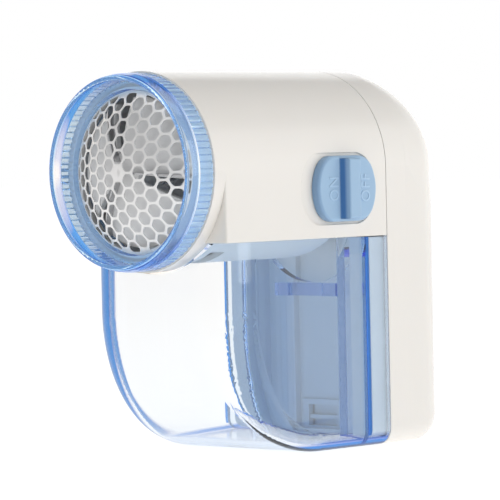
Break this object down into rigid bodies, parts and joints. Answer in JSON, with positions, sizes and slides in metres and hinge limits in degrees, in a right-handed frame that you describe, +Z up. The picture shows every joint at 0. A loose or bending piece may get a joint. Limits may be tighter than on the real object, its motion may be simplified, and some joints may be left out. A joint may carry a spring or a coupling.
{
  "type": "fabric shaver",
  "caption": "Hand-held fabric shaver: round perforated shaving head with a clear spacing guard, side slide switch, battery handle and a clear lint container that pulls off.",
  "frame": {"origin": "on the ground plane, mid-width, in the parting plane between front housing and rear cover", "axes": "+Z up, -Y the way the shaving head faces, +X the side with the slide button"},
  "size_m": [0.0722, 0.129, 0.1289],
  "materials": {
    "shell": "satin",
    "inner_shell": "satin",
    "clear_blue": "clear gloss",
    "tinted_blue": "translucent",
    "foil_steel": "polished",
    "blade_steel": "ground",
    "spring_steel": "drawn",
    "motor_steel": "plated",
    "screw_steel": "zinc plated",
    "bronze": "plain",
    "ferrite": "sintered",
    "copper": "enamelled winding",
    "grey_plastic": "satin",
    "dark_plastic": "satin",
    "button_blue": "satin",
    "battery_jacket": "gloss",
    "wire_red": "satin",
    "wire_black": "satin"
  },
  "bodies": {
    "body": {"front_housing": "shell", "rear_cover": "shell", "handle_frame": "inner_shell", "container_latch": "inner_shell", "motor_cowl": "inner_shell", "chamber_bulkhead": "inner_shell", "motor_can": "motor_steel", "motor_bush": "bronze", "motor_magnets": "ferrite", "motor_end_cap": "dark_plastic", "motor_terminals": "bronze", "motor_screws": "screw_steel", "housing_screws": "screw_steel", "switch_body": "motor_steel", "switch_terminals": "bronze", "battery_tray": "inner_shell", "battery_left": "battery_jacket", "battery_right": "battery_jacket", "battery_springs": "spring_steel", "bridge_contact": "spring_steel", "positive_contact": "spring_steel", "negative_contact": "spring_steel", "wire_red": "wire_red", "wire_black": "wire_black", "wire_link": "wire_red"},
    "container": {"lint_container": "clear_blue"},
    "guard": {"spacing_guard": "clear_blue"},
    "foil_head": {"foil_ring": "tinted_blue", "foil": "foil_steel", "foil_frame": "foil_steel"},
    "cutter": {"cutter_hub": "grey_plastic", "cutter_blades": "blade_steel", "cutter_spring": "spring_steel", "drive_sleeve": "grey_plastic", "motor_shaft": "spring_steel", "motor_rotor": "copper"},
    "button": {"switch_button": "button_blue", "switch_lever": "dark_plastic"},
    "door": {"battery_door": "shell"}
  },
  "joints": [
    {"name": "container_pull", "type": "slide", "parent": "body", "child": "container", "axis": [0, 0, -1], "range_m": [0, 0.08]},
    {"name": "guard_pull", "type": "slide", "parent": "body", "child": "guard", "axis": [0, -1, 0], "range_m": [0, 0.02]},
    {"name": "foil_bayonet", "type": "hinge", "parent": "body", "child": "foil_head", "pos_m": [0, -0.08, 0.0955], "axis": [0, -1, 0], "range_deg": [0, 25]},
    {"name": "cutter_spin", "type": "hinge", "parent": "body", "child": "cutter", "pos_m": [0, -0.08, 0.0955], "axis": [0, -1, 0], "continuous": true},
    {"name": "switch_slide", "type": "slide", "parent": "body", "child": "button", "axis": [0, -1, 0], "range_m": [0, 0.0055]},
    {"name": "door_slide", "type": "slide", "parent": "body", "child": "door", "axis": [0, 0, -1], "range_m": [0, 0.062]}
  ]
}
